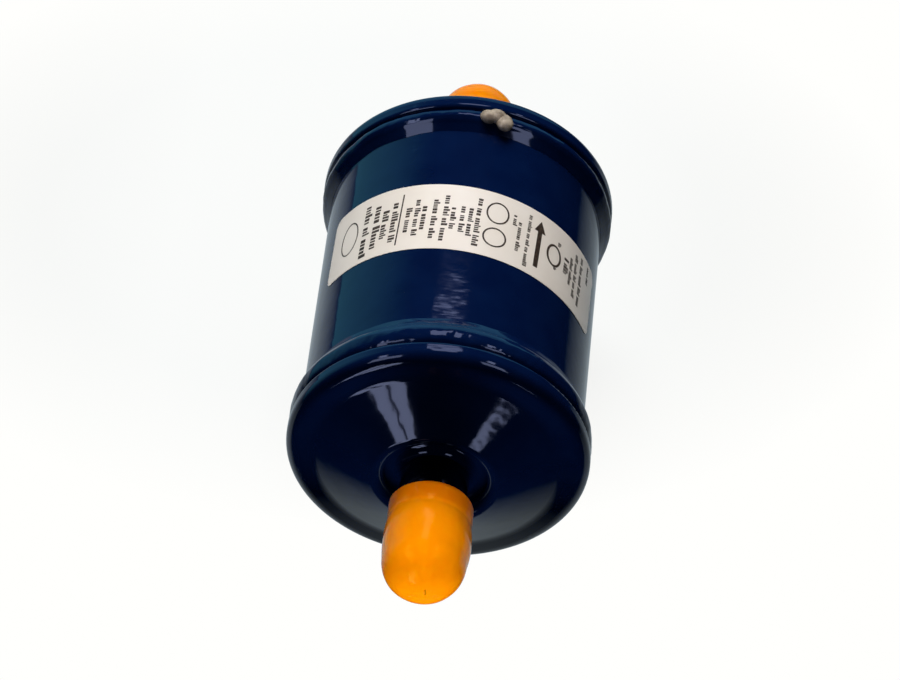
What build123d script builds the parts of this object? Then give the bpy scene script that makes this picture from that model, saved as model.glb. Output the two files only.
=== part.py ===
from build123d import *
import math
import os

os.makedirs("parts", exist_ok=True)

# A hermetic liquid-line filter drier, in millimetres. The axis of the shell is X,
# the refrigerant enters at -X and leaves at +X, and +Z is up, with the label on top.
# The origin is on the axis, half way along the shell.

# ---- shell: a length of welded steel tube --------------------------------------
SHELL_OD = 66.7
SHELL_WALL = 1.5
SHELL_LENGTH = 82.6

# ---- end caps: drawn steel cups pushed over the ends of the shell ---------------
CAP_WALL = 2.3
SKIRT_CLEARANCE = 0.1        # all round, between the skirt and the shell
SHELL_END_CLEARANCE = 0.5    # between the shell's end and the cup's floor
SKIRT_DEPTH = 5.6            # from the outer face back to the lip of the skirt
SHOULDER_RADIUS = 3.0
LIP_RADIUS = 1.2
RIM_WIDTH = 6.35             # from the outside of the skirt to the foot of the cone
FLAT_BLEND = 5.0
CONE_ANGLE = 23.0            # from the plane of the face
DIMPLE_RADIUS = 12.2         # the cone turns in to a cup round the fitting
DIMPLE_DEPTH = 4.2
DIMPLE_ROLL = 2.2

# ---- fillet welds between the skirt's lip and the shell -------------------------
OUTLET_WELD_LEG = 6.2        # along the shell
OUTLET_CREST_SETBACK = 2.1   # from the lip of the skirt back to the crest
INLET_WELD_LEG = 9.2
INLET_CREST_SETBACK = 3.6
WELD_CREST = 2.4             # the top of the bead, measured up from the shell
WELD_LIP_CLEARANCE = 0.05
WELD_TOE_HEIGHT = 0.25
WELD_VALLEY = 1.2            # where the bead meets the lip, below the skirt's outside

# ---- bare lump of weld metal on the outlet weld ---------------------------------
LUMP_HEIGHT = 1.3            # above the crest of the weld
LUMP_ANGLE = 11.8            # from the top of the shell towards -Y
LUMP_LOBE_SPREAD = 2.0       # from the middle lobe out to each outer one
LUMP_NEAR_LOBE = (4.0, 4.2)  # along the shell, round the weld
LUMP_MIDDLE_LOBE = (4.4, 4.6)
LUMP_FAR_LOBE = (5.2, 4.2)

# ---- solder fittings: solid copper stubs with a socket for 12 mm tube -----------
TUBE_DIAMETER = 12.0
SOCKET_CLEARANCE = 0.05      # all round the tube
SOCKET_DEPTH = 10.0
SOCKET_CHAMFER = 0.4
PASSAGE_RADIUS = 5.0
FITTING_OD = 16.0
FITTING_PROUD = 18.82        # from the point of the cone to the socket's mouth
FITTING_INSIDE = 1.2         # what stands inside the end cap
MOUTH_CHAMFER = 1.1
HOLE_CLEARANCE = 0.1         # all round, filled by capillary brazing

# ---- brazed fillets at the roots of the fittings, down in the dimples ------------
BRAZE_FACE_LEG = 1.8         # measured out from the fitting
BRAZE_SLEEVE_LEG = 1.8       # measured along the fitting
BRAZE_HOLLOW = 0.3           # sag of the fillet's face

# ---- push-on shipping caps: dip-moulded soft vinyl ------------------------------
VINYL_WALL = 1.85
VINYL_CLEARANCE = 0.06       # all round the fitting
VINYL_LENGTH = 25.4
VINYL_BULGE = 0.35
VINYL_LIP_RADIUS = 0.6
VINYL_TIP_FLAT = 1.0         # radius of the flattened end of the dome
VINYL_STANDOFF = 2.3         # outlet cap, from the edge of the dimple to its mouth
INLET_CAP_DRAWN = 4.5        # inlet cap, left this much further out than that

# ---- label: a printed film, stuck on slightly askew -----------------------------
LABEL_THICKNESS = 0.12
LABEL_WIDTH = 21.2
LABEL_CENTRE_X = 3.4
LABEL_LEFT_ANGLE = 62.0      # from the top of the shell towards +Y
LABEL_RIGHT_ANGLE = 76.5     # from the top of the shell towards -Y
LABEL_SKEW = 2.64            # degrees
LABEL_CORNER = 2.4

# ---- the filling: plates, pads, desiccant and the spring that packs it ----------
INNER_CLEARANCE = 0.15       # all round, between the filling and the shell
PLATE_THICKNESS = 1.2
PLATE_HOLE = 5.5
PLATE_HOLE_PITCH = 11.0
PLATE_RIM = 3.0              # unpierced border
SCREEN_FRAME = 2.2
SCREEN_THICKNESS = 0.8
SCREEN_WIRE = 0.8
SCREEN_PITCH = 8.0
OUTLET_PAD_THICKNESS = 5.0
INLET_PAD_THICKNESS = 4.0
BED_LENGTH = 56.6
SPRING_WIRE = 2.4
SPRING_TURNS = 2.0
SPRING_SMALL_RADIUS = 17.0
SPRING_EDGE_CLEARANCE = 0.4

# ---- worked out from the sizes above --------------------------------------------
SHELL_R = SHELL_OD / 2
BORE_R = SHELL_R - SHELL_WALL
SKIRT_IR = SHELL_R + SKIRT_CLEARANCE
SKIRT_OR = SKIRT_IR + CAP_WALL
FLOOR_X = SHELL_LENGTH / 2 + SHELL_END_CLEARANCE
FACE_X = FLOOR_X + CAP_WALL
LIP_X = FACE_X - SKIRT_DEPTH
CONE_SLOPE = math.tan(math.radians(CONE_ANGLE))
WALL_ALONG_X = CAP_WALL / math.cos(math.radians(CONE_ANGLE))
CONE_FOOT_R = SKIRT_OR - RIM_WIDTH
FITTING_R = FITTING_OD / 2
HOLE_R = FITTING_R + HOLE_CLEARANCE
DIMPLE_EDGE_X = FACE_X + (CONE_FOOT_R - DIMPLE_RADIUS) * CONE_SLOPE
DIMPLE_FLOOR_X = DIMPLE_EDGE_X - DIMPLE_DEPTH
VINYL_IR = FITTING_R + VINYL_CLEARANCE
VINYL_OR = VINYL_IR + VINYL_WALL
FILL_R = BORE_R - INNER_CLEARANCE


def face_x(radius):
    """The outer face of an end cap at a radius on its cone."""
    return FACE_X + (CONE_FOOT_R - radius) * CONE_SLOPE


def turned(outline):
    """A solid turned about the shell's axis from a closed (x, radius) outline."""
    return revolve(make_face(outline), Axis.X)


def at_inlet(shape):
    """The same piece at the inlet end."""
    return mirror(shape, Plane.YZ)


# ---- shell and end caps ---------------------------------------------------------
def shell_tube():
    tube = Cylinder(SHELL_R, SHELL_LENGTH) - Cylinder(BORE_R, SHELL_LENGTH)
    return Rot(0, 90, 0) * tube


def end_cap():
    """A cup with a short skirt, a flat rim, a shallow cone and a dimple for the fitting."""
    inner_foot_r = CONE_FOOT_R - (WALL_ALONG_X - CAP_WALL) / CONE_SLOPE
    dimple_back_r = DIMPLE_RADIUS + CAP_WALL
    dimple_back_x = DIMPLE_FLOOR_X - CAP_WALL
    outline = Polyline(
        (LIP_X, SKIRT_IR),
        (LIP_X, SKIRT_OR),
        (FACE_X, SKIRT_OR),
        (FACE_X, CONE_FOOT_R),
        (DIMPLE_EDGE_X, DIMPLE_RADIUS),
        (DIMPLE_FLOOR_X, DIMPLE_RADIUS),
        (DIMPLE_FLOOR_X, HOLE_R),
        (dimple_back_x, HOLE_R),
        (dimple_back_x, dimple_back_r),
        (face_x(dimple_back_r) - WALL_ALONG_X, dimple_back_r),
        (FLOOR_X, inner_foot_r),
        (FLOOR_X, SKIRT_IR),
        close=True,
    )
    section = make_face(outline)
    corners = section.vertices()
    lip = corners.sort_by_distance((LIP_X, SKIRT_OR))[0]
    section = fillet(lip, LIP_RADIUS)
    shoulder = section.vertices().sort_by_distance((FACE_X, SKIRT_OR))[0]
    section = fillet(shoulder, SHOULDER_RADIUS)
    floor_corner = section.vertices().sort_by_distance((FLOOR_X, SKIRT_IR))[0]
    section = fillet(floor_corner, SHOULDER_RADIUS - CAP_WALL)
    blend = section.vertices().sort_by_distance((FACE_X, CONE_FOOT_R))[0]
    section = fillet(blend, FLAT_BLEND)
    dimple_edge = section.vertices().sort_by_distance((DIMPLE_EDGE_X, DIMPLE_RADIUS))[0]
    section = fillet(dimple_edge, DIMPLE_ROLL)
    return revolve(section, Axis.X)


def weld(leg, crest_setback):
    """A humped fillet weld: a ramp up from the shell, a crest, a valley at the lip."""
    root = (LIP_X - WELD_LIP_CLEARANCE, SHELL_R)
    toe = (LIP_X - leg, SHELL_R)
    toe_edge = (LIP_X - leg, SHELL_R + WELD_TOE_HEIGHT)
    crest = (LIP_X - crest_setback, SHELL_R + WELD_CREST)
    valley = (LIP_X - WELD_LIP_CLEARANCE, SKIRT_OR - WELD_VALLEY)
    ramp = (leg - crest_setback, WELD_CREST)
    crown = Spline(toe_edge, crest, valley, tangents=[ramp, (1, -2)])
    return turned(Polyline(valley, root, toe, toe_edge) + crown)


def outlet_weld():
    return weld(OUTLET_WELD_LEG, OUTLET_CREST_SETBACK)


def weld_lump():
    """Bare metal frozen on the crest of the outlet weld: three lobes run together."""
    crest_x = LIP_X - OUTLET_CREST_SETBACK
    crest_r = SHELL_R + WELD_CREST
    lobe_step = math.degrees(LUMP_LOBE_SPREAD / crest_r)
    lobes = (
        (LUMP_NEAR_LOBE, -0.4, -lobe_step),
        (LUMP_MIDDLE_LOBE, 0.2, 0),
        (LUMP_FAR_LOBE, -1.4, lobe_step),
    )
    blob = Part()
    for (along, around), offset_x, angle in lobes:
        lobe = scale(Sphere(1), (along / 2, around / 2, LUMP_HEIGHT))
        lobe = Pos(crest_x + offset_x, 0, crest_r) * lobe
        blob += Rot(LUMP_ANGLE + angle, 0, 0) * lobe
    return blob - outlet_weld() - shell_tube() - end_cap()


# ---- fittings -------------------------------------------------------------------
def fitting():
    """A turned stub: socket for the tube, stop shoulder, and a smaller passage."""
    socket_r = TUBE_DIAMETER / 2 + SOCKET_CLEARANCE
    inner_x = DIMPLE_FLOOR_X - CAP_WALL - FITTING_INSIDE
    mouth_x = face_x(FITTING_R) + FITTING_PROUD
    stop_x = mouth_x - SOCKET_DEPTH
    outline = Polyline(
        (inner_x, PASSAGE_RADIUS),
        (inner_x, FITTING_R),
        (mouth_x - MOUTH_CHAMFER, FITTING_R),
        (mouth_x, FITTING_R - MOUTH_CHAMFER),
        (mouth_x, socket_r + SOCKET_CHAMFER),
        (mouth_x - SOCKET_CHAMFER, socket_r),
        (stop_x, socket_r),
        (stop_x, PASSAGE_RADIUS),
        close=True,
    )
    return turned(outline)


def braze_ring():
    """A hollow fillet of brazing metal between the dimple's floor and the fitting."""
    on_floor = (DIMPLE_FLOOR_X, FITTING_R + BRAZE_FACE_LEG)
    root = (DIMPLE_FLOOR_X, FITTING_R)
    on_fitting = (DIMPLE_FLOOR_X + BRAZE_SLEEVE_LEG, FITTING_R)
    hollow = SagittaArc(on_fitting, on_floor, BRAZE_HOLLOW)
    return turned(Polyline(on_floor, root, on_fitting) + hollow)


# ---- shipping caps --------------------------------------------------------------
def vinyl_cap():
    """A blunt thimble with a faintly swollen body, its mouth at x = 0."""
    dome_x = VINYL_LENGTH - VINYL_OR + VINYL_TIP_FLAT
    inner_tip_x = VINYL_LENGTH - VINYL_WALL
    arm = math.cos(math.radians(45))
    outer_round = VINYL_OR - VINYL_TIP_FLAT
    inner_round = VINYL_IR - VINYL_TIP_FLAT
    side = Spline(
        (0, VINYL_OR),
        (dome_x / 2, VINYL_OR + VINYL_BULGE),
        (dome_x, VINYL_OR),
        tangents=[(1, 0), (1, 0)],
    )
    dome = ThreePointArc(
        (dome_x, VINYL_OR),
        (dome_x + outer_round * arm, VINYL_TIP_FLAT + outer_round * arm),
        (VINYL_LENGTH, VINYL_TIP_FLAT),
    )
    end = Polyline(
        (VINYL_LENGTH, VINYL_TIP_FLAT),
        (VINYL_LENGTH, 0),
        (inner_tip_x, 0),
        (inner_tip_x, VINYL_TIP_FLAT),
    )
    inner_dome_x = inner_tip_x - inner_round
    inner_dome = ThreePointArc(
        (inner_tip_x, VINYL_TIP_FLAT),
        (inner_dome_x + inner_round * arm, VINYL_TIP_FLAT + inner_round * arm),
        (inner_dome_x, VINYL_IR),
    )
    bore = Polyline((inner_dome_x, VINYL_IR), (0, VINYL_IR), (0, VINYL_OR))
    cap = turned(side + dome + end + inner_dome + bore)
    mouth = cap.edges().filter_by(GeomType.CIRCLE).group_by(Axis.X)[0]
    return fillet(mouth, VINYL_LIP_RADIUS)


# ---- label ----------------------------------------------------------------------
def label_edge_x(side, angle):
    """Where the downstream (1), upstream (-1) or middle (0) line of the label runs."""
    drift = SHELL_R * math.radians(angle) * math.tan(math.radians(LABEL_SKEW))
    return LABEL_CENTRE_X + side * LABEL_WIDTH / 2 + drift


def end_trim(angle, turn):
    """What squares off one end of the film and rounds its two corners."""
    theta = math.radians(angle)
    outward = (0, math.sin(theta), math.cos(theta))
    middle = Vector(label_edge_x(0, angle), 0, 0) + Vector(outward) * SHELL_R
    facing = Plane(origin=middle, x_dir=(1, 0, 0), z_dir=outward)
    beyond = Pos(0, LABEL_CORNER / 2) * Rectangle(LABEL_WIDTH + 2 * LABEL_CORNER, 3 * LABEL_CORNER)
    kept = Pos(0, -2 * LABEL_CORNER) * RectangleRounded(LABEL_WIDTH, 4 * LABEL_CORNER, LABEL_CORNER)
    waste = Rot(0, 0, turn - LABEL_SKEW) * (beyond - kept)
    return extrude(facing * waste, LABEL_CORNER, both=True)


def label():
    """A rounded strip of film wrapped over the top of the shell, slightly askew."""
    skin_r = SHELL_R + LABEL_THICKNESS
    skin = Cylinder(skin_r, SHELL_LENGTH) - Cylinder(SHELL_R, SHELL_LENGTH)
    skin = Rot(0, 90, 0) * skin
    spare = math.degrees(LABEL_CORNER / SHELL_R) / 2
    angles = (-LABEL_RIGHT_ANGLE - spare, 0, LABEL_LEFT_ANGLE + spare)

    def edge_points(side):
        return [
            (label_edge_x(side, angle), skin_r * math.sin(math.radians(angle)))
            for angle in angles
        ]

    downstream = Spline(edge_points(1))
    upstream = Spline(edge_points(-1)[::-1])
    left = Line(downstream @ 1, upstream @ 0)
    right = Line(upstream @ 1, downstream @ 0)
    film = skin & extrude(make_face(downstream + left + upstream + right), SHELL_OD)
    film -= end_trim(LABEL_LEFT_ANGLE, 0)
    film -= end_trim(-LABEL_RIGHT_ANGLE, 180)
    return film


# ---- filling --------------------------------------------------------------------
def disc(radius, thickness, outer_x):
    """A plain disc whose outlet side is at outer_x."""
    return Pos(outer_x - thickness / 2, 0, 0) * (Rot(0, 90, 0) * Cylinder(radius, thickness))


def perforated_plate(outer_x):
    """A steel disc pierced in a triangular pattern, with a plain border."""
    plate = disc(FILL_R, PLATE_THICKNESS, outer_x)
    reach = FILL_R - PLATE_RIM - PLATE_HOLE / 2
    row_gap = PLATE_HOLE_PITCH * math.sin(math.radians(60))
    rows = int(reach / row_gap)
    columns = int(reach / PLATE_HOLE_PITCH) + 1
    through = Rot(0, 90, 0) * Cylinder(PLATE_HOLE / 2, 3 * PLATE_THICKNESS)
    holes = []
    for row in range(-rows, rows + 1):
        stagger = PLATE_HOLE_PITCH / 2 * (row % 2)
        for column in range(-columns, columns + 1):
            y = column * PLATE_HOLE_PITCH + stagger
            z = row * row_gap
            if math.hypot(y, z) <= reach:
                holes.append(Pos(outer_x, y, z) * through)
    return plate - holes


def wire_screen(outer_x):
    """Crossed wires in a flat hoop, which keep the outlet pad off the plate."""
    hoop = disc(FILL_R, SCREEN_THICKNESS, outer_x)
    hoop -= disc(FILL_R - SCREEN_FRAME, SCREEN_THICKNESS, outer_x)
    reach = FILL_R - SCREEN_FRAME / 2
    count = int(reach / SCREEN_PITCH)
    wires = []
    for step in range(-count, count + 1):
        offset = step * SCREEN_PITCH
        span = 2 * math.sqrt(reach**2 - offset**2)
        across = Box(SCREEN_THICKNESS, span, SCREEN_WIRE)
        upright = Box(SCREEN_THICKNESS, SCREEN_WIRE, span)
        middle_x = outer_x - SCREEN_THICKNESS / 2
        wires.append(Pos(middle_x, 0, offset) * across)
        wires.append(Pos(middle_x, offset, 0) * upright)
    return hoop + wires


def spring(near_x, far_x):
    """A cone of round wire: the wide coil on the inlet cap, the narrow on the plate."""
    wide_r = BORE_R - SPRING_EDGE_CLEARANCE - SPRING_WIRE / 2
    height = far_x - near_x - SPRING_WIRE

    def on_cone(turns):
        part_way = turns / SPRING_TURNS
        radius = wide_r + (SPRING_SMALL_RADIUS - wide_r) * part_way
        angle = 2 * math.pi * turns
        x = near_x + SPRING_WIRE / 2 + height * part_way
        return (x, radius * math.cos(angle), radius * math.sin(angle))

    count = math.ceil(4 * SPRING_TURNS)
    reach = SPRING_TURNS / count
    starts = [reach * bend for bend in range(count)]
    bends = [ThreePointArc(on_cone(t), on_cone(t + reach / 2), on_cone(t + reach)) for t in starts]
    path = Wire(bends)
    wire = Plane(origin=path @ 0, z_dir=path % 0) * Circle(SPRING_WIRE / 2)
    return sweep(wire, path, transition=Transition.RIGHT)


outlet_plate_x = FLOOR_X
screen_x = outlet_plate_x - PLATE_THICKNESS
outlet_pad_x = screen_x - SCREEN_THICKNESS
bed_x = outlet_pad_x - OUTLET_PAD_THICKNESS
inlet_pad_x = bed_x - BED_LENGTH
inlet_plate_x = inlet_pad_x - INLET_PAD_THICKNESS
spring_end_x = inlet_plate_x - PLATE_THICKNESS
outlet_mouth_x = DIMPLE_EDGE_X + VINYL_STANDOFF

nodes = {
    "shell_tube": shell_tube(),
    "outlet_end_cap": end_cap(),
    "inlet_end_cap": at_inlet(end_cap()),
    "outlet_weld": outlet_weld(),
    "inlet_weld": at_inlet(weld(INLET_WELD_LEG, INLET_CREST_SETBACK)),
    "weld_lump": weld_lump(),
    "outlet_fitting": fitting(),
    "inlet_fitting": at_inlet(fitting()),
    "outlet_braze_ring": braze_ring(),
    "inlet_braze_ring": at_inlet(braze_ring()),
    "outlet_shipping_cap": Pos(outlet_mouth_x, 0, 0) * vinyl_cap(),
    "inlet_shipping_cap": at_inlet(Pos(outlet_mouth_x + INLET_CAP_DRAWN, 0, 0) * vinyl_cap()),
    "label": label(),
    "outlet_perforated_plate": perforated_plate(outlet_plate_x),
    "outlet_wire_screen": wire_screen(screen_x),
    "outlet_filter_pad": disc(FILL_R, OUTLET_PAD_THICKNESS, outlet_pad_x),
    "desiccant_bed": disc(FILL_R, BED_LENGTH, bed_x),
    "inlet_filter_pad": disc(FILL_R, INLET_PAD_THICKNESS, inlet_pad_x),
    "inlet_perforated_plate": perforated_plate(inlet_plate_x),
    "compression_spring": spring(-FLOOR_X, spring_end_x),
}

for name, shape in nodes.items():
    export_step(shape, f"parts/{name}.step")
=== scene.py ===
import math
import random

import bmesh
import bpy
from mathutils import Matrix, Vector, noise


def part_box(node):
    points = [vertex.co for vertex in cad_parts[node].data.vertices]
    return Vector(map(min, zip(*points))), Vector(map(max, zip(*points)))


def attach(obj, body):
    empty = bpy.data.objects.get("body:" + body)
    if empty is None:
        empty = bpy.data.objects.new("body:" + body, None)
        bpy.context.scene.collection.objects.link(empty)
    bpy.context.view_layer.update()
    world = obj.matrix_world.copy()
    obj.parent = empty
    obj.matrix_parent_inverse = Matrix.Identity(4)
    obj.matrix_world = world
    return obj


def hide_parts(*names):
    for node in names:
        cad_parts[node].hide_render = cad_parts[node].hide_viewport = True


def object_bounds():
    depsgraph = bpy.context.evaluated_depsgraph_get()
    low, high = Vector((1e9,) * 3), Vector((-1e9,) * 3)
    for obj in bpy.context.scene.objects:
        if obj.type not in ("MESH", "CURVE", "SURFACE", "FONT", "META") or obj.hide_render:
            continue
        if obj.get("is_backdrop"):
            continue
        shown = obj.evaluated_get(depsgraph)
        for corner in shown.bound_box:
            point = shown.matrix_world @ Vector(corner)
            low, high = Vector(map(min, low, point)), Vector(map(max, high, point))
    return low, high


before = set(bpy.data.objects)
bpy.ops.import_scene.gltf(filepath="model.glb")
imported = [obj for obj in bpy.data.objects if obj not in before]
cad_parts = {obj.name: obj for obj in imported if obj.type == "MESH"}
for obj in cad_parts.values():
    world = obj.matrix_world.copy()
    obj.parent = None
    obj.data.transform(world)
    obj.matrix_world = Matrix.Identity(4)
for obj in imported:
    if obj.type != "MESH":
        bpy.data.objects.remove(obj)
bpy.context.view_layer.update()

# ---- camera ----------------------------------------------------------------------
# A long lens, held nearly in line with the flow axis and looking down on the inlet end.
# Its turn and dip are in radians.
CAMERA_AT = Vector((-0.66945, -0.05890, 0.71913))
CAMERA_TURN = 0.089
CAMERA_DIP = 0.823
LENS = 163.47
SENSOR = 36.0

forward = Vector((
    math.cos(CAMERA_DIP) * math.cos(CAMERA_TURN),
    math.cos(CAMERA_DIP) * math.sin(CAMERA_TURN),
    -math.sin(CAMERA_DIP),
))
right = forward.cross(Vector((0, 0, 1))).normalized()
camera_up = right.cross(forward)
camera_data = bpy.data.cameras.new("camera")
camera_data.lens = LENS
camera_data.sensor_width = SENSOR
camera_data.clip_start = 0.01
camera_data.clip_end = 20.0
camera = bpy.data.objects.new("camera", camera_data)
turn = Matrix((right, camera_up, -forward)).transposed().to_4x4()
camera.matrix_world = Matrix.Translation(CAMERA_AT) @ turn
bpy.context.collection.objects.link(camera)
bpy.context.scene.camera = camera
bpy.context.scene.view_settings.view_transform = "Standard"

# ---- stage: a white table top in a dim room ---------------------------------------
# The drier lies on its collars on a small white table, which keeps a faint shadow. The
# camera sees table and room as white. Gloss sees the table as a glow with painted shade
# that darkens it towards its sides and front, and a dark room with one blue side.
SEEN_WHITE = "FFFFFD"
TABLE_WHITE = "DAEAF3"
TABLE_EDGE_PAINTED_SHADE = "1C323C"
TABLE_FRONT = -0.062
TABLE_BACK = 0.20
TABLE_RIGHT = -0.15
TABLE_LEFT = 0.20
# Shares of the way from the table's middle to its edge.
# From here outwards the table's colour is painted darker: painted shade, not a darker laminate.
SIDES_DIM_FROM = 0.3
FRONT_DIMS_FROM = 0.84
SHADOW_FADES = (0.5, 0.8)
SHADOW_SHARE = 0.14
TABLE_IN_GLOSS = 0.58
REST_GAP = 0.0004
ROOM_DARK = "04060A"
ROOM_SIDE = "569CAE"
ROOM_SIDE_TOWARD = (0.73, 0.67, -0.10)
ROOM_SIDE_FROM = 0.66
ROOM_FILL = "D9DEE6"
ROOM_FILL_STRENGTH = 0.07


def linear(code):
    """An sRGB hex colour as linear RGBA."""
    parts = [int(code[i:i + 2], 16) / 255 for i in (0, 2, 4)]
    return [p / 12.92 if p <= 0.04045 else ((p + 0.055) / 1.055) ** 2.4 for p in parts] + [1.0]


def node(tree, kind, settings=None, stops=(), **inputs):
    """Adds a node with its settings, the stops of its colour ramp and its inputs.

    An input is a value, a socket, or a node whose first output is linked to it. i0, i1
    and i2 are inputs by number."""
    made = tree.nodes.new(kind)
    for name, value in (settings or {}).items():
        setattr(made, name, value)
    if stops:
        while len(made.color_ramp.elements) < len(stops):
            made.color_ramp.elements.new(0.5)
        for element, (position, code) in zip(made.color_ramp.elements, stops):
            element.position = position
            element.color = linear(code)
    for name, value in inputs.items():
        key = int(name[1:]) if name[0] == "i" and name[1:].isdigit() else name.replace("_", " ")
        if isinstance(value, bpy.types.Node):
            value = value.outputs[0]
        if isinstance(value, bpy.types.NodeSocket):
            tree.links.new(value, made.inputs[key])
        else:
            made.inputs[key].default_value = value
    return made


def new_material(name):
    """An empty node material and its tree."""
    material = bpy.data.materials.new(name)
    material.use_nodes = True
    material.node_tree.nodes.clear()
    return material, material.node_tree


def mesh_object(name, points, faces, smooth=False):
    """A mesh object at the origin, with its place in its mesh."""
    mesh = bpy.data.meshes.new(name)
    mesh.from_pydata([tuple(p) for p in points], [], faces)
    mesh.polygons.foreach_set("use_smooth", [smooth] * len(mesh.polygons))
    mesh.update()
    made = bpy.data.objects.new(name, mesh)
    bpy.context.collection.objects.link(made)
    return made


# Laminate, pressed smooth: to the camera an even white with a soft shadow at its middle.
# Its colour carries painted shade towards its sides and front, and gloss sees it as a glow.
table_paint, tree = new_material("white laminate table")
ray = node(tree, "ShaderNodeLightPath").outputs
place = node(tree, "ShaderNodeTexCoord").outputs["Object"]
centred = node(tree, "ShaderNodeMapping", {"vector_type": "TEXTURE"}, Vector=place,
               Location=((TABLE_FRONT + TABLE_BACK) / 2, (TABLE_RIGHT + TABLE_LEFT) / 2, 0),
               Scale=((TABLE_BACK - TABLE_FRONT) / 2, (TABLE_LEFT - TABLE_RIGHT) / 2, 1))
from_middle = node(tree, "ShaderNodeSeparateXYZ", Vector=centred).outputs
aside = node(tree, "ShaderNodeMath", {"operation": "ABSOLUTE"}, i0=from_middle["Y"])
ahead = node(tree, "ShaderNodeMapRange", Value=from_middle["X"],
             From_Min=-FRONT_DIMS_FROM, From_Max=-1.0, To_Min=0.0, To_Max=1.0)
outer = node(tree, "ShaderNodeMath", {"operation": "MAXIMUM"}, i0=aside, i1=ahead)
# Painted shade: the table's colour goes from white to dark towards its sides and front.
painted_falloff_colour = node(tree, "ShaderNodeValToRGB", Fac=outer,
               stops=((SIDES_DIM_FROM, TABLE_WHITE), (1.0, TABLE_EDGE_PAINTED_SHADE)))
lit = node(tree, "ShaderNodeBsdfDiffuse", Color=painted_falloff_colour)
# Painted light: gloss sees the table as a glow in that painted colour, not as a lit surface.
gloss_glow = node(tree, "ShaderNodeEmission", Color=painted_falloff_colour, Strength=TABLE_IN_GLOSS)
table_light = node(tree, "ShaderNodeMixShader", i0=ray["Is Glossy Ray"], i1=lit, i2=gloss_glow)
away = node(tree, "ShaderNodeVectorMath", {"operation": "LENGTH"}, Vector=centred)
unshadowed = node(tree, "ShaderNodeMapRange", Value=away.outputs["Value"],
                  From_Min=SHADOW_FADES[0], From_Max=SHADOW_FADES[1],
                  To_Min=1 - SHADOW_SHARE, To_Max=1.0)
bright = node(tree, "ShaderNodeMath", {"operation": "MULTIPLY"},
              i0=ray["Is Camera Ray"], i1=unshadowed)
glow = node(tree, "ShaderNodeEmission", Color=linear(SEEN_WHITE), Strength=1.0)
surface = node(tree, "ShaderNodeMixShader", i0=bright, i1=table_light, i2=glow)
node(tree, "ShaderNodeOutputMaterial", Surface=surface)

collar_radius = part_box("inlet_end_cap")[1][2]
table_z = -collar_radius - REST_GAP
table = mesh_object(
    "table",
    [(TABLE_FRONT, TABLE_RIGHT, table_z), (TABLE_BACK, TABLE_RIGHT, table_z),
     (TABLE_BACK, TABLE_LEFT, table_z), (TABLE_FRONT, TABLE_LEFT, table_z)],
    [(0, 1, 2, 3)],
)
table.data.materials.append(table_paint)
table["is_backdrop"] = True

room = bpy.data.worlds.new("room")
bpy.context.scene.world = room
room.use_nodes = True
tree = room.node_tree
tree.nodes.clear()
ray = node(tree, "ShaderNodeLightPath").outputs
looking = node(tree, "ShaderNodeTexCoord").outputs["Generated"]
sideways = node(tree, "ShaderNodeVectorMath", {"operation": "DOT_PRODUCT"},
                i0=looking, i1=ROOM_SIDE_TOWARD)
side_share = node(tree, "ShaderNodeMapRange", {"interpolation_type": "SMOOTHSTEP"},
                  Value=sideways.outputs["Value"], From_Min=ROOM_SIDE_FROM, From_Max=1.0)
walls = node(tree, "ShaderNodeValToRGB", Fac=side_share,
             stops=((0.0, ROOM_DARK), (1.0, ROOM_SIDE)))
fill = node(tree, "ShaderNodeBackground", Color=linear(ROOM_FILL), Strength=ROOM_FILL_STRENGTH)
gloss_glow = node(tree, "ShaderNodeBackground", Color=walls, Strength=1.0)
white = node(tree, "ShaderNodeBackground", Color=linear(SEEN_WHITE), Strength=1.0)
dim = node(tree, "ShaderNodeMixShader", i0=ray["Is Glossy Ray"], i1=fill, i2=gloss_glow)
seen = node(tree, "ShaderNodeMixShader", i0=ray["Is Camera Ray"], i1=dim, i2=white)
node(tree, "ShaderNodeOutputWorld", Surface=seen)


def lamp(name, toward, distance, side, radiance, colour="FFFFFF"):
    """A square soft light that faces the drier, by the radiance of its face."""
    data = bpy.data.lights.new(name, "AREA")
    data.shape = "SQUARE"
    data.size = side
    data.energy = radiance * side * side * math.pi
    data.color = linear(colour)[:3]
    made = bpy.data.objects.new(name, data)
    made.location = Vector(toward).normalized() * distance
    made.rotation_euler = (-made.location).to_track_quat("-Z", "Y").to_euler()
    made.visible_glossy = False
    made.visible_camera = False
    bpy.context.collection.objects.link(made)
    return made


# The lamps only light the pieces, and no gloss mirrors them.
lamp("ceiling", (0.85, 0.12, 0.95), 1.6, 1.2, 7.7, colour="FFFAF5")
lamp("front_fill", (-1.0, 0.1, 0.9), 1.6, 1.0, 0.15)
lamp("floor_bounce", (-0.38, 0.0, -0.93), 1.6, 1.0, 9.0)

# The room's windows and far wall, which only glossy surfaces see.
DAYLIGHT = "BFCCFF"
FAR_WALL = "5A9FBE"
PANE_DISTANCE = 2.0


def bearing(azimuth, elevation):
    """A direction by its angle from the flow axis and its height above the table."""
    a, e = math.radians(azimuth), math.radians(elevation)
    return (math.cos(a) * math.cos(e), math.sin(a) * math.cos(e), math.sin(e))


def overhead(x, y):
    """A direction above the table by its X and Y."""
    return (x, y, math.sqrt(1 - x * x - y * y))


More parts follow.
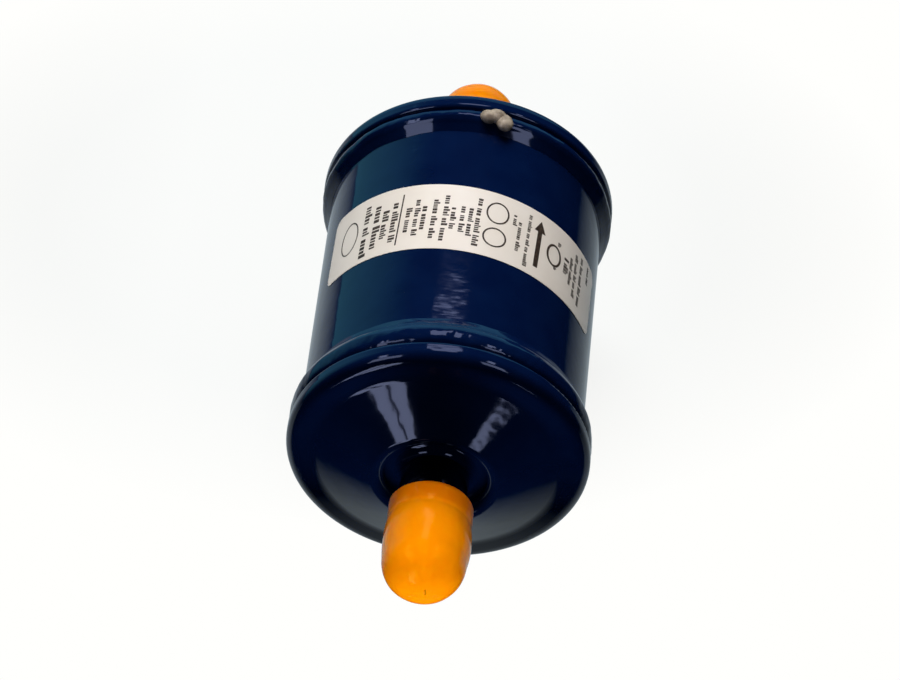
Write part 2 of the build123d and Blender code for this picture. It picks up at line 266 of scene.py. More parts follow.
# (name, colour, radiance, how its corners are given, its spans at its first and second
# edge, the places of those two edges)
PANES = (
    ("window_left_a", DAYLIGHT, 4.0, bearing, (154, 159.1), (154, 159.1), (-24, 6)),
    ("window_left_b", DAYLIGHT, 4.0, bearing, (160.3, 165.5), (160.3, 165.5), (-24, 6)),
    ("window_right", DAYLIGHT, 4.2, bearing, (-157.9, -156.1), (-162.7, -160.9), (-15, -9)),
    ("window_over", DAYLIGHT, 3.2, bearing, (-15, 14), (-18, 16), (47.3, 68)),
    ("left_wide", DAYLIGHT, 3.0, overhead, (-0.5, -0.24), (-0.5, -0.24), (0.42, 0.7)),
    ("left_narrow", DAYLIGHT, 4.2, overhead, (-0.2, 0.1), (-0.2, 0.1), (0.59, 0.66)),
    ("right_wide", DAYLIGHT, 3.0, overhead, (-0.5, -0.24), (-0.5, -0.24), (-0.64, -0.42)),
    ("right_narrow", DAYLIGHT, 4.2, overhead, (-0.1, 0.2), (-0.1, 0.2), (-0.56, -0.49)),
    ("far_wall", FAR_WALL, 1.0, bearing, (-34, 36), (-34, 36), (-2, 28)),
)
glows = {}
for name, code, radiance, direction, first_span, second_span, edges in PANES:
    if (code, radiance) not in glows:
        glows[code, radiance], tree = new_material("light from the room")
        glow = node(tree, "ShaderNodeEmission", Color=linear(code), Strength=radiance)
        node(tree, "ShaderNodeOutputMaterial", Surface=glow)
    corners = (direction(first_span[0], edges[0]), direction(first_span[1], edges[0]),
               direction(second_span[1], edges[1]), direction(second_span[0], edges[1]))
    pane = mesh_object(name, [Vector(c) * PANE_DISTANCE for c in corners], [(0, 1, 2, 3)])
    pane.data.materials.append(glows[code, radiance])
    pane.visible_camera = False
    pane.visible_diffuse = False
    pane.visible_shadow = False
    pane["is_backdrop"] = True

# ---- body: shell, end caps and brazed fillets --------------------------------------
# A length of steel tube with drawn caps, welded and brazed up, then powder coated all
# over in one thick gloss coat.
NAVY = "03143C"
NAVY_THIN = "051942"
ORANGE_PEEL = 0.0014
ORANGE_PEEL_DEPTH = 0.000011
PEEL_STRETCH = 0.3           # the peel is this much finer along the shell than round it
COAT_SWELL = 0.007
COAT_SWELL_DEPTH = 0.00006


def dress(name, material):
    """Gives a CAD node's object one material."""
    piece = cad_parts[name]
    piece.data.materials.clear()
    piece.data.materials.append(material)


# Polyester powder coat, baked: nearly black in shade, blue where it is lit, with a clear
# gloss that shows the windows, and a fine orange peel that frays their edges.
navy_coat, tree = new_material("navy polyester powder coat")
place = node(tree, "ShaderNodeTexCoord").outputs["Object"]
swell = node(tree, "ShaderNodeTexNoise", Vector=place, Scale=1 / COAT_SWELL, Detail=2.0)
laid = node(tree, "ShaderNodeMapping", Vector=place, Scale=(1.0, PEEL_STRETCH, PEEL_STRETCH))
peel = node(tree, "ShaderNodeTexNoise", Vector=laid, Scale=1 / ORANGE_PEEL, Detail=1.0)
pigment = node(tree, "ShaderNodeValToRGB", Fac=swell, stops=((0.3, NAVY), (0.7, NAVY_THIN)))
waves = node(tree, "ShaderNodeBump", Height=swell, Distance=COAT_SWELL_DEPTH)
skin = node(tree, "ShaderNodeBump", Height=peel, Distance=ORANGE_PEEL_DEPTH, Normal=waves)
shade = node(tree, "ShaderNodeBsdfPrincipled", Base_Color=pigment, Roughness=0.065,
             IOR=1.48, Normal=skin)
node(tree, "ShaderNodeOutputMaterial", Surface=shade)

for name in ("shell_tube", "inlet_end_cap", "outlet_end_cap",
             "inlet_braze_ring", "outlet_braze_ring"):
    dress(name, navy_coat)

# ---- girth welds -------------------------------------------------------------------
# A bead laid by a welding machine round each joint of cap and shell: a rippled hump on
# the shell that falls to a narrow valley at the cap's lip, buried under the coat.
WELD_AROUND = 720
WELD_ACROSS = 48
BEAD_WAVE = 0.009
BEAD_WAVE_HEIGHT = 0.0007
BEAD_WAVE_MIDDLE = 0.62      # the noise's value at which the bead keeps the solid's height
BEAD_RIPPLE = 0.0022
BEAD_RIPPLE_HEIGHT = 0.00034
BEAD_RIPPLE_MIDDLE = 0.6
TOE_WANDER = 0.0012
TOE_MIDDLE = 0.3
# The closed section of the bead, from the toe over the crest, down at the lip and back
# along the shell: (share of the way round it, share of the leg, share of the crest).
BEAD_SECTION = (
    (0.0, 0.0, 0.02), (0.2, 0.25, 0.46), (0.38, 0.48, 0.88), (0.46, 0.61, 1.0),
    (0.55, 0.75, 0.975), (0.63, 0.86, 0.89), (0.72, 0.96, 0.66), (0.76, 1.0, 0.5),
    (0.8, 1.0, 0.0), (1.0, 0.0, 0.0),
)
ADD = {"operation": "ADD"}
SUBTRACT = {"operation": "SUBTRACT"}
MULTIPLY = {"operation": "MULTIPLY"}

bead_tree = bpy.data.node_groups.new("weld bead", "GeometryNodeTree")
for title in ("Toe X", "Leg", "Shell Radius", "Crest Height", "Wave Height",
              "Ripple Height", "Toe Wander", "Seed"):
    bead_tree.interface.new_socket(title, in_out="INPUT", socket_type="NodeSocketFloat")
bead_tree.interface.new_socket("Coat", in_out="INPUT", socket_type="NodeSocketMaterial")
bead_tree.interface.new_socket("Geometry", in_out="OUTPUT", socket_type="NodeSocketGeometry")
tree = bead_tree
size = node(tree, "NodeGroupInput").outputs

# A flat grid stands for the bead: its X is the way round the shell, and its Y is the way
# round the bead's section.
grid = node(tree, "GeometryNodeMeshGrid", Size_X=1.0, Size_Y=1.0,
            Vertices_X=WELD_AROUND, Vertices_Y=WELD_ACROSS)
spot = node(tree, "ShaderNodeSeparateXYZ",
            Vector=node(tree, "GeometryNodeInputPosition")).outputs
round_shell = node(tree, "ShaderNodeMath", ADD, i0=spot["X"], i1=0.5)
angle = node(tree, "ShaderNodeMath", MULTIPLY, i0=round_shell, i1=math.tau)
sine = node(tree, "ShaderNodeMath", {"operation": "SINE"}, i0=angle)
cosine = node(tree, "ShaderNodeMath", {"operation": "COSINE"}, i0=angle)
round_section = node(tree, "ShaderNodeMath", ADD, i0=spot["Y"], i1=0.5)
profiles = []
for column in (1, 2):
    profile = node(tree, "ShaderNodeFloatCurve", Value=round_section)
    stations = profile.mapping.curves[0].points
    while len(stations) < len(BEAD_SECTION):
        stations.new(0.5, 0.5)
    for station, row in zip(stations, BEAD_SECTION):
        station.location = (row[0], row[column])
    profile.mapping.update()
    profiles.append(profile)
leg_share, crest_share = profiles
along_leg = node(tree, "ShaderNodeMath", MULTIPLY, i0=leg_share, i1=size["Leg"])

# Long waves and a short ripple, read off the shell so that the ring closes on itself.
ring_spot = node(tree, "ShaderNodeCombineXYZ", X=along_leg,
                 Y=node(tree, "ShaderNodeMath", MULTIPLY, i0=size["Shell Radius"], i1=sine),
                 Z=node(tree, "ShaderNodeMath", MULTIPLY, i0=size["Shell Radius"], i1=cosine))
wave, ripple = (
    node(tree, "ShaderNodeTexNoise", {"noise_dimensions": "4D"}, Vector=ring_spot,
         W=size["Seed"], Scale=1 / length, Detail=1.0)
    for length in (BEAD_WAVE, BEAD_RIPPLE)
)
swing = node(tree, "ShaderNodeMath", SUBTRACT, i0=wave, i1=BEAD_WAVE_MIDDLE)
waved = node(tree, "ShaderNodeMath", MULTIPLY, i0=swing, i1=size["Wave Height"])
shiver = node(tree, "ShaderNodeMath", SUBTRACT, i0=ripple, i1=BEAD_RIPPLE_MIDDLE)
calm_toe = node(tree, "ShaderNodeMath", MULTIPLY, i0=shiver, i1=leg_share)
rippled = node(tree, "ShaderNodeMath", MULTIPLY, i0=calm_toe, i1=size["Ripple Height"])
rough = node(tree, "ShaderNodeMath", ADD, i0=waved, i1=rippled)

# The toe wanders along the shell, and the lip's edge stays where it is.
pull = node(tree, "ShaderNodeMath", SUBTRACT, i0=wave, i1=TOE_MIDDLE)
wander = node(tree, "ShaderNodeMath", MULTIPLY, i0=pull, i1=size["Toe Wander"])
from_lip = node(tree, "ShaderNodeMath", SUBTRACT, i0=1.0, i1=leg_share)
toe_pull = node(tree, "ShaderNodeMath", MULTIPLY, i0=wander, i1=from_lip)
straight_x = node(tree, "ShaderNodeMath", ADD, i0=size["Toe X"], i1=along_leg)
bead_x = node(tree, "ShaderNodeMath", ADD, i0=straight_x, i1=toe_pull)
crest = node(tree, "ShaderNodeMath", ADD, i0=size["Crest Height"], i1=rough)
above_shell = node(tree, "ShaderNodeMath", MULTIPLY, i0=crest_share, i1=crest)
bead_r = node(tree, "ShaderNodeMath", ADD, i0=size["Shell Radius"], i1=above_shell)
bead_spot = node(tree, "ShaderNodeCombineXYZ", X=bead_x,
                 Y=node(tree, "ShaderNodeMath", MULTIPLY, i0=bead_r, i1=sine),
                 Z=node(tree, "ShaderNodeMath", MULTIPLY, i0=bead_r, i1=cosine))
bent = node(tree, "GeometryNodeSetPosition", Geometry=grid, Position=bead_spot)
closed = node(tree, "GeometryNodeMergeByDistance", Geometry=bent, Distance=1e-6)
smooth = node(tree, "GeometryNodeSetShadeSmooth", Geometry=closed)
coated = node(tree, "GeometryNodeSetMaterial", Geometry=smooth, Material=size["Coat"])
real = node(tree, "GeometryNodeRealizeInstances", Geometry=coated)
node(tree, "NodeGroupOutput", Geometry=real)


def grown(name, group, values):
    """The plain mesh that a Geometry Nodes tree makes with these values."""
    seed = mesh_object(name + "_seed", [], [])
    modifier = seed.modifiers.new("tree", "NODES")
    modifier.node_group = group
    for item in group.interface.items_tree:
        if item.in_out == "INPUT" and item.name in values:
            modifier[item.identifier] = values[item.name]
    seed.update_tag()
    view = bpy.context.evaluated_depsgraph_get()
    mesh = bpy.data.meshes.new_from_object(seed.evaluated_get(view))
    seed.modifiers.remove(modifier)
    bpy.data.objects.remove(seed)
    mesh.name = name
    made = bpy.data.objects.new(name, mesh)
    bpy.context.collection.objects.link(made)
    return made


def face_out(piece):
    """Merges doubles and turns every face of a closed mesh outwards."""
    work = bmesh.new()
    work.from_mesh(piece.data)
    bmesh.ops.remove_doubles(work, verts=work.verts, dist=1e-7)
    bmesh.ops.recalc_face_normals(work, faces=work.faces)
    work.to_mesh(piece.data)
    work.free()


shell_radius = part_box("shell_tube")[1][2]
for end, seed in (("outlet", 3.0), ("inlet", 11.4)):
    low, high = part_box(end + "_weld")
    side = 1 if end == "outlet" else -1
    toe_x, lip_x = (low[0], high[0]) if side > 0 else (high[0], low[0])
    bead = grown(end + "_weld_bead", bead_tree, {
        "Toe X": toe_x, "Leg": lip_x - toe_x, "Shell Radius": shell_radius,
        "Crest Height": high[2] - shell_radius, "Wave Height": BEAD_WAVE_HEIGHT,
        "Ripple Height": BEAD_RIPPLE_HEIGHT, "Toe Wander": side * TOE_WANDER,
        "Seed": seed, "Coat": navy_coat,
    })
    face_out(bead)
    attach(bead, "drier")
    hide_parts(end + "_weld")

# ---- lump on the outlet weld ---------------------------------------------------------
# Weld metal that froze in a knot on the crest of the outlet bead. The coat never took
# on it, so it is bare.
LUMP_GRAIN = 0.0016
LUMP_PITS = 0.0002
LUMP_LIGHT = "C6B8A4"
LUMP_DARK = "8C7D6B"

# Bare steel, frozen and oxidised: a dull warm grey with paler high spots.
bare_steel, tree = new_material("oxidised bare weld steel")
place = node(tree, "ShaderNodeTexCoord").outputs["Object"]
grain = node(tree, "ShaderNodeTexNoise", Vector=place, Scale=1 / LUMP_GRAIN, Detail=4.0)
tint = node(tree, "ShaderNodeValToRGB", Fac=grain, stops=((0.35, LUMP_DARK), (0.65, LUMP_LIGHT)))
pits = node(tree, "ShaderNodeBump", Height=grain, Distance=LUMP_PITS)
shade = node(tree, "ShaderNodeBsdfPrincipled", Base_Color=tint, Metallic=0.2,
             Roughness=0.5, Normal=pits)
node(tree, "ShaderNodeOutputMaterial", Surface=shade)
dress("weld_lump", bare_steel)

# ---- shipping caps -------------------------------------------------------------------
# Push-on thimbles of soft vinyl, dip moulded over a pin: the mouth grips the fitting
# and the closed end swells a little past it.
CAP_AROUND = 128
CAP_STEPS = 64               # down the outside
LIP_STEPS = 6
BORE_STEPS = 12              # over the closed end of the bore
SLEEVE_END = 0.0056          # from the mouth
SWELL = 0.00033
NECK = 0.00016
NECK_WIDTH = 0.0009
BULGE = 0.00035              # the mould's own bulge, left to the swell
TIP_FLAT = 0.001
LIP_RADIUS = 0.0006
MOUTH_EDGE = 0.0002
BORE_CLEARANCE = 0.00006
TIP_DENT = 0.0009
CAP_WAVE = 0.0001
CAP_WAVES_ALONG = 160        # to the metre
CAP_WAVES_ROUND = 1.6
VINYL_MOTTLE = 0.006
VINYL_FLOW = 0.0003
# Where the sleeve's painted shade gives way to the bulb's painted light, about the sleeve's end.
BULB_LIGHT_FADES = (-0.0012, 0.0004)
ORANGE = "FF9402"
ORANGE_DEEP = "DE7602"

# Plasticised vinyl, dip moulded: soft, glossy and a little translucent, with a random
# mottle. The sleeve on the metal is painted deeper and the bulb paler: painted shade and
# painted light for the light that comes through the wall.
orange_vinyl, tree = new_material("orange dip moulded vinyl")
place = node(tree, "ShaderNodeTexCoord").outputs["Object"]
mottle = node(tree, "ShaderNodeTexNoise", Vector=place, Scale=1 / VINYL_MOTTLE, Detail=2.0)
distance = node(tree, "ShaderNodeMath", {"operation": "ABSOLUTE"},
                i0=node(tree, "ShaderNodeSeparateXYZ", Vector=place).outputs["X"])
sleeve_end_x = -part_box("inlet_shipping_cap")[1][0] + SLEEVE_END
# Painted shade and light: the sleeve on the metal darkens and the bulb past it brightens.
painted_bulb_light = node(tree, "ShaderNodeMapRange", {"interpolation_type": "SMOOTHSTEP"}, Value=distance,
            From_Min=sleeve_end_x + BULB_LIGHT_FADES[0], From_Max=sleeve_end_x + BULB_LIGHT_FADES[1],
            To_Min=0.0, To_Max=0.8)
spread = node(tree, "ShaderNodeMath", {"operation": "MULTIPLY_ADD"}, i0=mottle, i1=0.4, i2=painted_bulb_light)
dye = node(tree, "ShaderNodeValToRGB", Fac=spread, stops=((0.1, ORANGE_DEEP), (0.9, ORANGE)))
flow = node(tree, "ShaderNodeBump", Height=mottle, Distance=VINYL_FLOW)
shade = node(tree, "ShaderNodeBsdfPrincipled", Base_Color=dye, Roughness=0.11,
             Subsurface_Weight=0.35, Subsurface_Radius=(0.0030, 0.0014, 0.0003),
             Subsurface_Scale=1.0, IOR=1.46, Specular_Tint=linear("FFC414"), Normal=flow)
node(tree, "ShaderNodeOutputMaterial", Surface=shade)


def thimble_outline(length, body_r, bore_r):
    """Half the cap's section: tip, outside, lip, and the bore up to its closed end.

    The first CAP_STEPS places are the outside. X is measured in from the mouth."""
    dome = body_r - TIP_FLAT
    dome_x = length - dome
    outline = []
    for step in range(CAP_STEPS):
        x = length * math.sin(math.pi / 2 * (1 - step / CAP_STEPS))
        if x > dome_x:
            q = (x - dome_x) / dome
            r = TIP_FLAT * (1 - q ** 8) + dome * max(0.0, 1 - q ** 2.15) ** 0.5
        else:
            along = min(1.0, max(0.0, (x - SLEEVE_END) / (dome_x - SLEEVE_END)))
            r = body_r + SWELL * math.sin(math.pi * along)
            r -= NECK * math.exp(-((x - SLEEVE_END) / NECK_WIDTH) ** 2)
        outline.append((x, r if step else 0.0))
    for step in range(1, LIP_STEPS + 1):
        turned = math.pi / 2 * step / LIP_STEPS
        outline.append((LIP_RADIUS * (1 - math.sin(turned)),
                        body_r - LIP_RADIUS * (1 - math.cos(turned))))
    outline.append((0.0, bore_r + MOUTH_EDGE))
    outline.append((MOUTH_EDGE, bore_r))
    bore_dome = bore_r - TIP_FLAT
    bore_dome_x = length - (body_r - bore_r) - bore_dome
    for step in range(BORE_STEPS + 1):
        q = step / BORE_STEPS
        turned = math.pi / 2 * q
        outline.append((bore_dome_x + bore_dome * math.sin(turned),
                        TIP_FLAT * (1 - q) + bore_dome * math.cos(turned)))
    return outline


def thimble(end, bore_r):
    """A dip-moulded cap: a gripping sleeve, a neck where it ends, and a blunt bulb."""
    low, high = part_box(end + "_shipping_cap")
    side = 1 if low[0] > 0 else -1
    mouth_x = low[0] if side > 0 else high[0]
    length = high[0] - low[0]
    half = 0.5 * length
    body_r = (high[2] - low[2]) / 2 - BULGE
    points = []
    rings = []
    for count, (x, r) in enumerate(thimble_outline(length, body_r, bore_r)):
        if r < 1e-6:
            rings.append([len(points)])
            points.append((mouth_x + side * x, 0.0, 0.0))
            continue
        on_outside = count < CAP_STEPS
        on_bulb = max(0.0, (x - half) / half) ** 1.5
        ring = []
        for step in range(CAP_AROUND):
            angle = math.tau * step / CAP_AROUND
            y, z = math.sin(angle), math.cos(angle)
            dent = 0.0
            if on_outside and r > bore_r * 0.2:
                dent = TIP_DENT * max(0.0, -y) ** 2 * on_bulb
            if on_outside and r > bore_r:
                dent += CAP_WAVE * noise.noise(Vector((
                    x * CAP_WAVES_ALONG, y * CAP_WAVES_ROUND, z * CAP_WAVES_ROUND + side)))
            ring.append(len(points))
            points.append((mouth_x + side * x, (r - dent) * y, (r - dent) * z))
        rings.append(ring)
    faces = []
    for first, second in zip(rings, rings[1:]):
        for step in range(CAP_AROUND):
            after = (step + 1) % CAP_AROUND
            if len(first) == 1:
                faces.append((first[0], second[step], second[after]))
            elif len(second) == 1:
                faces.append((first[step], second[0], first[after]))
            else:
                faces.append((first[step], second[step], second[after], first[after]))
    return mesh_object(end + "_vinyl_cap", points, faces, smooth=True)


fitting_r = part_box("inlet_fitting")[1][2]
vinyl_caps = bpy.data.collections.new("vinyl caps")
for end in ("inlet", "outlet"):
    cap = thimble(end, fitting_r + BORE_CLEARANCE)
    face_out(cap)
    cap.data.materials.append(orange_vinyl)
    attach(cap, end + "_cap")
    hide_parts(end + "_shipping_cap")
    cap.visible_glossy = False
    vinyl_caps.objects.link(cap)

# Light that comes to the caps alone, as it does through their walls.
for name, toward, radiance in (("cap_glow", (-0.95, -0.05, 0.45), 7.0),
                               ("cap_under", (-0.6, 0.0, -1.0), 1.6)):
    cap_light = lamp(name, toward, 0.8, 0.5, radiance, colour="FFF4E4")
    cap_light.light_linking.receiver_collection = vinyl_caps

# ---- label ---------------------------------------------------------------------------
# A strip of white plastic film, printed in black and wrapped over the shell slightly
# askew. The print is plain bars, rings, a rule and the flow arrow.
FILM_WHITE = "F8F3EC"
FILM_SHADE = "F3ECE3"
FILM_PATCH = 0.012
INK = "2A1F17"
INK_WORN = "5A4A3C"
INK_WEAR = 0.0006
INK_THICKNESS = 0.00003
LABEL_MIDDLE_X = 3.4         # mm
LABEL_SKEW = math.radians(2.64)

# Calendered vinyl film: a warm white, nearly matt, a shade deeper in soft patches.
white_film, tree = new_material("white vinyl label film")
place = node(tree, "ShaderNodeTexCoord").outputs["Object"]
patch = node(tree, "ShaderNodeTexNoise", Vector=place, Scale=1 / FILM_PATCH, Detail=3.0)
sheet = node(tree, "ShaderNodeValToRGB", Fac=patch, stops=((0.3, FILM_SHADE), (0.7, FILM_WHITE)))
shade = node(tree, "ShaderNodeBsdfPrincipled", Base_Color=sheet, Roughness=0.35, IOR=1.46)
node(tree, "ShaderNodeOutputMaterial", Surface=shade)
dress("label", white_film)

# Thermal transfer print: a warm black that has rubbed brown in small spots.
black_ink, tree = new_material("black thermal print")
place = node(tree, "ShaderNodeTexCoord").outputs["Object"]
wear = node(tree, "ShaderNodeTexNoise", Vector=place, Scale=1 / INK_WEAR, Detail=2.0)
tone = node(tree, "ShaderNodeValToRGB", Fac=wear, stops=((0.4, INK), (0.75, INK_WORN)))
shade = node(tree, "ShaderNodeBsdfPrincipled", Base_Color=tone, Roughness=0.5, IOR=1.46)
node(tree, "ShaderNodeOutputMaterial", Surface=shade)

film_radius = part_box("label")[1][2]
ink_points = []
ink_faces = []


def on_film(u, v, lift):
    """A place on the label: u round the shell towards the left, v along the flow, in mm."""
    x = LABEL_MIDDLE_X + v * math.cos(LABEL_SKEW) + u * math.sin(LABEL_SKEW)
    round_way = (u * math.cos(LABEL_SKEW) - v * math.sin(LABEL_SKEW)) / 1000 / shell_radius
    r = film_radius + lift
    return (x / 1000, r * math.sin(round_way), r * math.cos(round_way))


def ink(stations, ring=False):
    """A flat band of ink between the two edges given at each station."""
    first = len(ink_points)
    count = len(stations)
    for left, right_edge in stations:
        ink_points.extend((on_film(*left, -INK_THICKNESS), on_film(*right_edge, -INK_THICKNESS),
                           on_film(*right_edge, INK_THICKNESS), on_film(*left, INK_THICKNESS)))
    for here in range(count if ring else count - 1):
        a = first + 4 * here
        b = first + 4 * ((here + 1) % count)
        for edge in range(4):
            following = (edge + 1) % 4
            ink_faces.append((a + edge, a + following, b + following, b + edge))
    if not ring:
        last = first + 4 * (count - 1)
        ink_faces.append((first, first + 3, first + 2, first + 1))
        ink_faces.append((last, last + 1, last + 2, last + 3))


def bar(u, v_start, v_end, height):
    """An upright block of ink, centred on u, in rows that follow the shell's curve."""
    steps = max(1, math.ceil(height / 1.2))
    rows = [u - height / 2 + height * step / steps for step in range(steps + 1)]
    ink([((row, v_start), (row, v_end)) for row in rows])


def line_of_bars(u, v_start, v_end, height, draw):
    """A line of short bars, in groups with gaps between, as small print looks."""
    v = v_start
    left_in_group = draw.randint(3, 7)
    while v < v_end - 0.3 * height:
        width = height * draw.uniform(0.22, 0.5)
        tall = height * draw.choice((0.68, 0.68, 0.72, 1.0))
        bar(u + (height - tall) / 2, v, min(v + width, v_end), tall)
        v += width + height * 0.17
        left_in_group -= 1
        if left_in_group == 0:
            v += height * 0.45
            left_in_group = draw.randint(3, 8)


def hoop(u, v, radius_u, radius_v, stroke):
    """A ring of ink."""
    stations = []
    for step in range(48):
        angle = math.tau * step / 48
        c, s = math.cos(angle), math.sin(angle)
        stations.append(((u + (radius_u - stroke) * c, v + (radius_v - stroke) * s),
                         (u + radius_u * c, v + radius_v * s)))
    ink(stations, ring=True)


# Sizes of the print, in mm. A line is (place round the shell, start and end along the
# flow, height), and the rule and the arrow's shaft are given as lines too. A ring is
# (place round the shell, place along the flow, its two radii, stroke).
LINES = (
    (22.9, -8.8, 8.4, 2.1), (19.8, -7.2, 6.7, 2.1), (17.5, -5.0, 4.4, 1.7),
    (14.9, -6.9, 6.0, 1.7), (11.3, -4.6, 3.9, 1.5), (9.2, -6.0, 5.7, 1.4),
    (7.3, -4.2, 3.8, 1.5), (4.8, -7.2, 6.7, 1.5), (2.2, -8.0, 7.4, 1.5),
    (0.35, -3.9, 3.7, 1.4), (-1.9, -4.6, 4.2, 1.4), (-3.8, -5.5, 4.7, 1.4),
    (-5.6, -8.3, 7.7, 1.5), (-14.4, 2.2, 5.9, 1.1), (-15.9, -5.6, 4.4, 1.2),
    (-18.3, -9.1, 8.6, 1.1), (-30.6, -2.3, 3.1, 1.7), (-32.5, -4.3, 5.5, 1.2),
    (-34.4, -6.7, 7.4, 1.2), (-36.9, -7.5, 8.9, 1.3), (-40.4, 3.4, 9.2, 0.9),
    (-27.0, -4.1, -3.2, 0.9), (-27.5, 4.1, 5.6, 1.0),
)
RULE = (13.45, -8.4, 8.2, 0.35)
RINGS = (
    (-10.0, -4.0, 2.95, 3.1, 0.42), (-9.9, 4.0, 2.85, 3.5, 0.42),
    (-26.2, 0.1, 2.4, 3.5, 0.6), (28.6, 0.2, 3.0, 5.2, 0.35),
)
ARROW_SHAFT = (-21.2, -7.5, 4.2, 1.25)
ARROW_HEAD_WIDTH = 3.2
ARROW_HEAD_LENGTH = 3.6

draw = random.Random(7)
for line in LINES:
    line_of_bars(*line, draw)
bar(*RULE)
for ring in RINGS:
    hoop(*ring)
bar(*ARROW_SHAFT)
u, _, neck, _ = ARROW_SHAFT
ink([((u - ARROW_HEAD_WIDTH / 2, neck), (u - ARROW_HEAD_WIDTH / 2, neck + 0.05)),
     ((u, neck), (u, neck + ARROW_HEAD_LENGTH)),
     ((u + ARROW_HEAD_WIDTH / 2, neck), (u + ARROW_HEAD_WIDTH / 2, neck + 0.05))])

label_print = mesh_object("label_print", ink_points, ink_faces)
face_out(label_print)
label_print.data.materials.append(black_ink)
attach(label_print, "drier")

# ---- solder fittings -----------------------------------------------------------------
# Turned copper stubs. The coat ran over their roots and stops where the caps sat on
# them when the drier was sprayed.
COPPER = "C9805A"
COPPER_DARK = "9C5A3C"
# Painted shade: the coat on the stubs' roots is nearly black, darker than the body's navy.
ROOT_COAT_PAINTED_SHADE = "01040C"
COAT_ENDS = 0.0580           # from the middle of the shell
COAT_EDGE = 0.0005
COAT_WANDER = 0.0012
COAT_WANDER_SPACING = 0.003
TOOL_MARKS = (4000, 60, 60)  # to the metre: 0.25 mm apart, drawn out round the stub

# Copper, turned, and sprayed at its root: dark gloss, a wavy edge, then warm metal with
# fine rings. The root's coat is painted nearly black, as painted shade of the recess.
overspray, tree = new_material("drawn copper with powder coated root")
place = node(tree, "ShaderNodeTexCoord").outputs["Object"]
axial = node(tree, "ShaderNodeMath", {"operation": "ABSOLUTE"},
             i0=node(tree, "ShaderNodeSeparateXYZ", Vector=place).outputs["X"])
edge_wave = node(tree, "ShaderNodeTexNoise", Vector=place, Scale=1 / COAT_WANDER_SPACING,
                 Detail=3.0)
wavy = node(tree, "ShaderNodeMath", {"operation": "MULTIPLY_ADD"},
            i0=edge_wave, i1=COAT_WANDER, i2=axial)
coat_line = COAT_ENDS + COAT_WANDER / 2
bare = node(tree, "ShaderNodeMapRange", Value=wavy,
            From_Min=coat_line - COAT_EDGE / 2, From_Max=coat_line + COAT_EDGE / 2)
drawn_out = node(tree, "ShaderNodeMapping", Vector=place, Scale=TOOL_MARKS)
turning = node(tree, "ShaderNodeTexNoise", Vector=drawn_out, Scale=1.0, Detail=2.0)
metal = node(tree, "ShaderNodeValToRGB", Fac=turning, stops=((0.35, COPPER_DARK), (0.65, COPPER)))
# Painted shade: the same coat as the body, made nearly black for the dark recess.
shaded_root_coat = node(tree, "ShaderNodeBsdfPrincipled", Base_Color=linear(ROOT_COAT_PAINTED_SHADE), Roughness=0.12)
copper = node(tree, "ShaderNodeBsdfPrincipled", Base_Color=metal, Metallic=1.0, Roughness=0.3)
surface = node(tree, "ShaderNodeMixShader", i0=bare, i1=shaded_root_coat, i2=copper)
node(tree, "ShaderNodeOutputMaterial", Surface=surface)
for name in ("inlet_fitting", "outlet_fitting"):
    dress(name, overspray)

# ---- plates, screen and spring -------------------------------------------------------
# Pressed and pierced steel discs, a woven steel screen and a wound steel wire: they
# hold the filling tight between the end caps.
ZINC = "B9BEC2"
ZINC_DARK = "8F959A"
SPANGLE = 0.004
WIRE_LIGHT = "7C828A"
WIRE_DARK = "4A5058"
WIRE_SCALE = 0.0015

# Zinc plated sheet steel: a cool grey with a soft mottled spangle.
plated_steel, tree = new_material("zinc plated sheet steel")
place = node(tree, "ShaderNodeTexCoord").outputs["Object"]
spangle = node(tree, "ShaderNodeTexVoronoi", Vector=place, Scale=1 / SPANGLE)
tone = node(tree, "ShaderNodeValToRGB", Fac=spangle, stops=((0.0, ZINC), (0.8, ZINC_DARK)))
shade = node(tree, "ShaderNodeBsdfPrincipled", Base_Color=tone, Metallic=1.0, Roughness=0.42)
node(tree, "ShaderNodeOutputMaterial", Surface=shade)
for name in ("inlet_perforated_plate", "outlet_perforated_plate", "outlet_wire_screen"):
    dress(name, plated_steel)

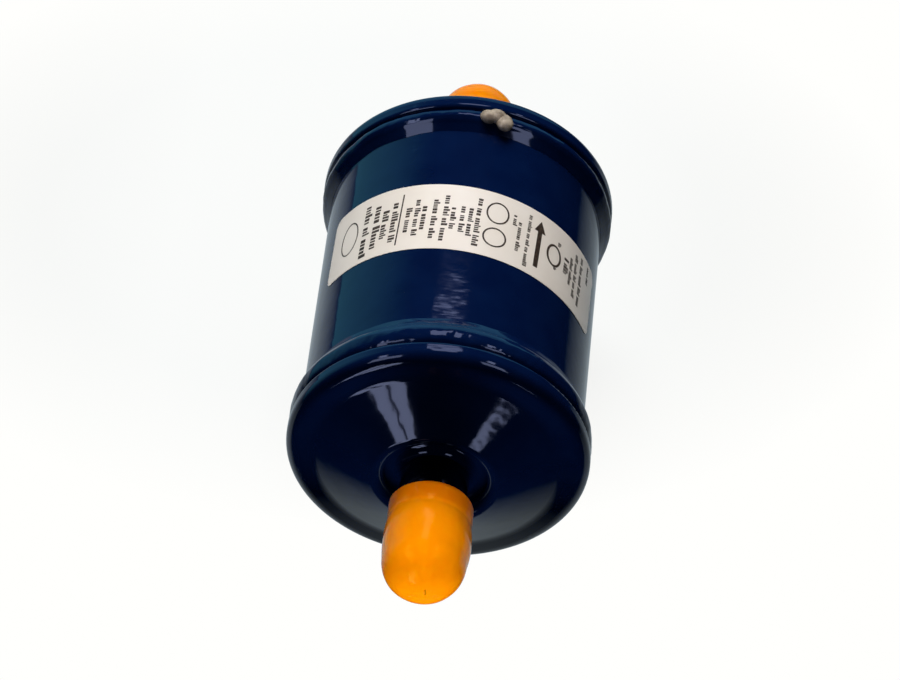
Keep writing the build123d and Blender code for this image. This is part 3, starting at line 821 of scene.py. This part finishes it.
# Drawn spring wire, oil tempered: dark blue grey, with small paler patches of scale.
spring_wire, tree = new_material("oil tempered spring wire")
place = node(tree, "ShaderNodeTexCoord").outputs["Object"]
scale_marks = node(tree, "ShaderNodeTexNoise", Vector=place, Scale=1 / WIRE_SCALE, Detail=4.0)
tone = node(tree, "ShaderNodeValToRGB", Fac=scale_marks,
            stops=((0.35, WIRE_DARK), (0.65, WIRE_LIGHT)))
shade = node(tree, "ShaderNodeBsdfPrincipled", Base_Color=tone, Metallic=1.0, Roughness=0.35)
node(tree, "ShaderNodeOutputMaterial", Surface=shade)
dress("compression_spring", spring_wire)

# ---- filter pads and desiccant -------------------------------------------------------
# Round pads punched from needled glass felt stand before and behind the desiccant, which
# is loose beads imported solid.
FIBRE = 0.0008
FELT_NAP = 0.0003
FELT_LIGHT = "F1EEE4"
FELT_DARK = "CFCBBE"
BEAD_SIZE = 0.0022
BEAD_STAND = 0.0012
SIEVE_LIGHT = "E4D6BD"
SIEVE_EDGE_SHADE = "B7A488"
SIEVE_GAP_SHADE = "4B4235"

# Needled glass felt: matt off-white, with tangled fibres that raise a soft nap.
needled_felt, tree = new_material("needled glass felt")
place = node(tree, "ShaderNodeTexCoord").outputs["Object"]
fibres = node(tree, "ShaderNodeTexNoise", Vector=place, Scale=1 / FIBRE, Detail=5.0,
              Distortion=1.5)
tone = node(tree, "ShaderNodeValToRGB", Fac=fibres, stops=((0.35, FELT_DARK), (0.65, FELT_LIGHT)))
nap = node(tree, "ShaderNodeBump", Height=fibres, Distance=FELT_NAP)
shade = node(tree, "ShaderNodeBsdfPrincipled", Base_Color=tone, Roughness=0.95,
             Sheen_Weight=0.3, Normal=nap)
node(tree, "ShaderNodeOutputMaterial", Surface=shade)
for name in ("inlet_filter_pad", "outlet_filter_pad"):
    dress(name, needled_felt)

# Molecular sieve beads, fired: small round beige grains, painted paler at their middles
# and darker to their edges and the gaps between them: painted shade for the loose bed.
sieve_beads, tree = new_material("molecular sieve beads")
place = node(tree, "ShaderNodeTexCoord").outputs["Object"]
beads = node(tree, "ShaderNodeTexVoronoi", Vector=place, Scale=1 / BEAD_SIZE)
# Painted shade: each bead darkens from its middle to its edge, and the gaps are darkest.
tone = node(tree, "ShaderNodeValToRGB", Fac=beads,
            stops=((0.1, SIEVE_LIGHT), (0.55, SIEVE_EDGE_SHADE), (0.75, SIEVE_GAP_SHADE)))
domes = node(tree, "ShaderNodeBump", {"invert": True}, Height=beads, Distance=BEAD_STAND)
shade = node(tree, "ShaderNodeBsdfPrincipled", Base_Color=tone, Roughness=0.85, Normal=domes)
node(tree, "ShaderNodeOutputMaterial", Surface=shade)
dress("desiccant_bed", sieve_beads)

low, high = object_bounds()
